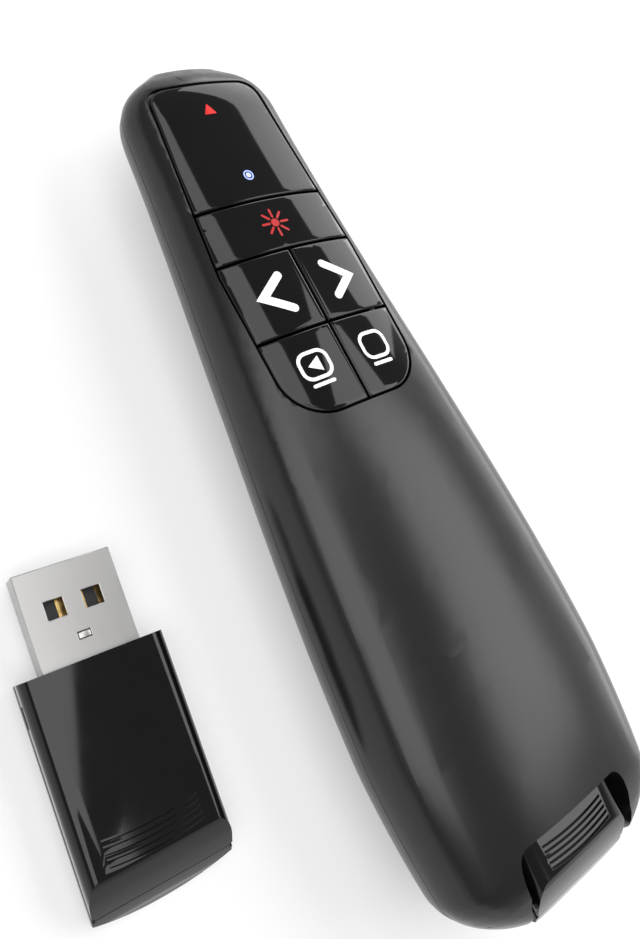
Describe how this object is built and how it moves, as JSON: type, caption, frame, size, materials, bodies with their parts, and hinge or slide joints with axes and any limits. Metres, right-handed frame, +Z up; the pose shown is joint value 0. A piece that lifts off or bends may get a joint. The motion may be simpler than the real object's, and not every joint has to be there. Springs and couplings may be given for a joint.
{
  "type": "wireless presentation clicker",
  "caption": "Handheld presentation remote with a laser pointer in its nose, press keys under a gloss panel, a cell door and a USB receiver stowed in its tail.",
  "frame": {"origin": "centre of the flat on the handset's belly, on the surface it lies on", "axes": "+Y along the handset towards its nose, +Z up through the buttons, +X towards its right side"},
  "size_m": [0.0747, 0.125, 0.0218],
  "materials": {
    "soft_shell": "soft-touch matte charcoal",
    "lower_shell": "fine satin charcoal",
    "gloss_window": "piano black",
    "gloss_button": "piano black with printed marks",
    "circuit_board": "solder mask green",
    "switch_case": "plain black",
    "chip": "moulded black",
    "steel": "plain can",
    "blue_led": "clear blue",
    "red_led": "clear red",
    "brass_barrel": "turned",
    "laser_lens": "clear with a red tint",
    "bezel": "satin black",
    "screw_steel": "black zinc",
    "cell_jacket": "printed foil sleeve, plain",
    "spring_steel": "nickel plated",
    "plunger": "plain black",
    "receiver_gloss": "gloss black",
    "plug_steel": "nickel plated, fine brushing",
    "plug_tongue": "plain black",
    "gold": "gold plated"
  },
  "bodies": {
    "handset": {"upper_shell": "soft_shell", "lower_shell": "lower_shell", "indicator_window": "gloss_window", "main_board": "circuit_board", "tact_switches": "switch_case", "radio_chip": "chip", "crystal": "steel", "status_led": "blue_led", "laser_indicator_led": "red_led", "laser_module": "brass_barrel", "laser_lens": "laser_lens", "laser_bezel": "bezel", "case_screws": "screw_steel", "battery_cell": "cell_jacket", "positive_contact": "spring_steel", "negative_contact": "spring_steel", "power_switch": "switch_case"},
    "laser_key": {"laser_button": "gloss_button", "laser_plunger": "plunger"},
    "back_key": {"back_button": "gloss_button", "back_plunger": "plunger"},
    "forward_key": {"forward_button": "gloss_button", "forward_plunger": "plunger"},
    "play_key": {"play_button": "gloss_button", "play_plunger": "plunger"},
    "blank_key": {"blank_button": "gloss_button", "blank_plunger": "plunger"},
    "cell_door": {"battery_cover": "lower_shell"},
    "power_knob": {"power_slider": "bezel"},
    "stowed_receiver": {"receiver_top_shell": "receiver_gloss", "receiver_bottom_shell": "receiver_gloss", "receiver_plug_shell": "plug_steel", "receiver_plug_tongue": "plug_tongue", "receiver_plug_contacts": "gold", "receiver_board": "circuit_board", "receiver_chip": "chip"},
    "loose_receiver": {"loose_receiver_top_shell": "receiver_gloss", "loose_receiver_bottom_shell": "receiver_gloss", "loose_receiver_plug_shell": "plug_steel", "loose_receiver_plug_tongue": "plug_tongue", "loose_receiver_plug_contacts": "gold", "loose_receiver_board": "circuit_board", "loose_receiver_chip": "chip"}
  },
  "joints": [
    {"name": "laser_press", "type": "slide", "parent": "handset", "child": "laser_key", "axis": [0, 0, -1], "range_m": [0, 0.0005], "stiffness_N_per_m": 2000, "springref_m": -0.0002},
    {"name": "back_press", "type": "slide", "parent": "handset", "child": "back_key", "axis": [0, 0, -1], "range_m": [0, 0.0005], "stiffness_N_per_m": 2000, "springref_m": -0.0002},
    {"name": "forward_press", "type": "slide", "parent": "handset", "child": "forward_key", "axis": [0, 0, -1], "range_m": [0, 0.0005], "stiffness_N_per_m": 2000, "springref_m": -0.0002},
    {"name": "play_press", "type": "slide", "parent": "handset", "child": "play_key", "axis": [0, 0, -1], "range_m": [0, 0.0005], "stiffness_N_per_m": 2000, "springref_m": -0.0002},
    {"name": "blank_press", "type": "slide", "parent": "handset", "child": "blank_key", "axis": [0, 0, -1], "range_m": [0, 0.0005], "stiffness_N_per_m": 2000, "springref_m": -0.0002},
    {"name": "door_lift", "type": "slide", "parent": "handset", "child": "cell_door", "axis": [0, 0, -1], "range_m": [0, 0.012]},
    {"name": "power_slide", "type": "slide", "parent": "handset", "child": "power_knob", "axis": [0, -1, 0], "range_m": [0, 0.003]},
    {"name": "receiver_pull", "type": "slide", "parent": "handset", "child": "stowed_receiver", "axis": [0, -1, 0], "range_m": [0, 0.045]},
    {"name": "loose_lift", "type": "slide", "parent": "handset", "child": "loose_receiver", "axis": [0, 0, 1], "range_m": [0, 0.03]}
  ]
}
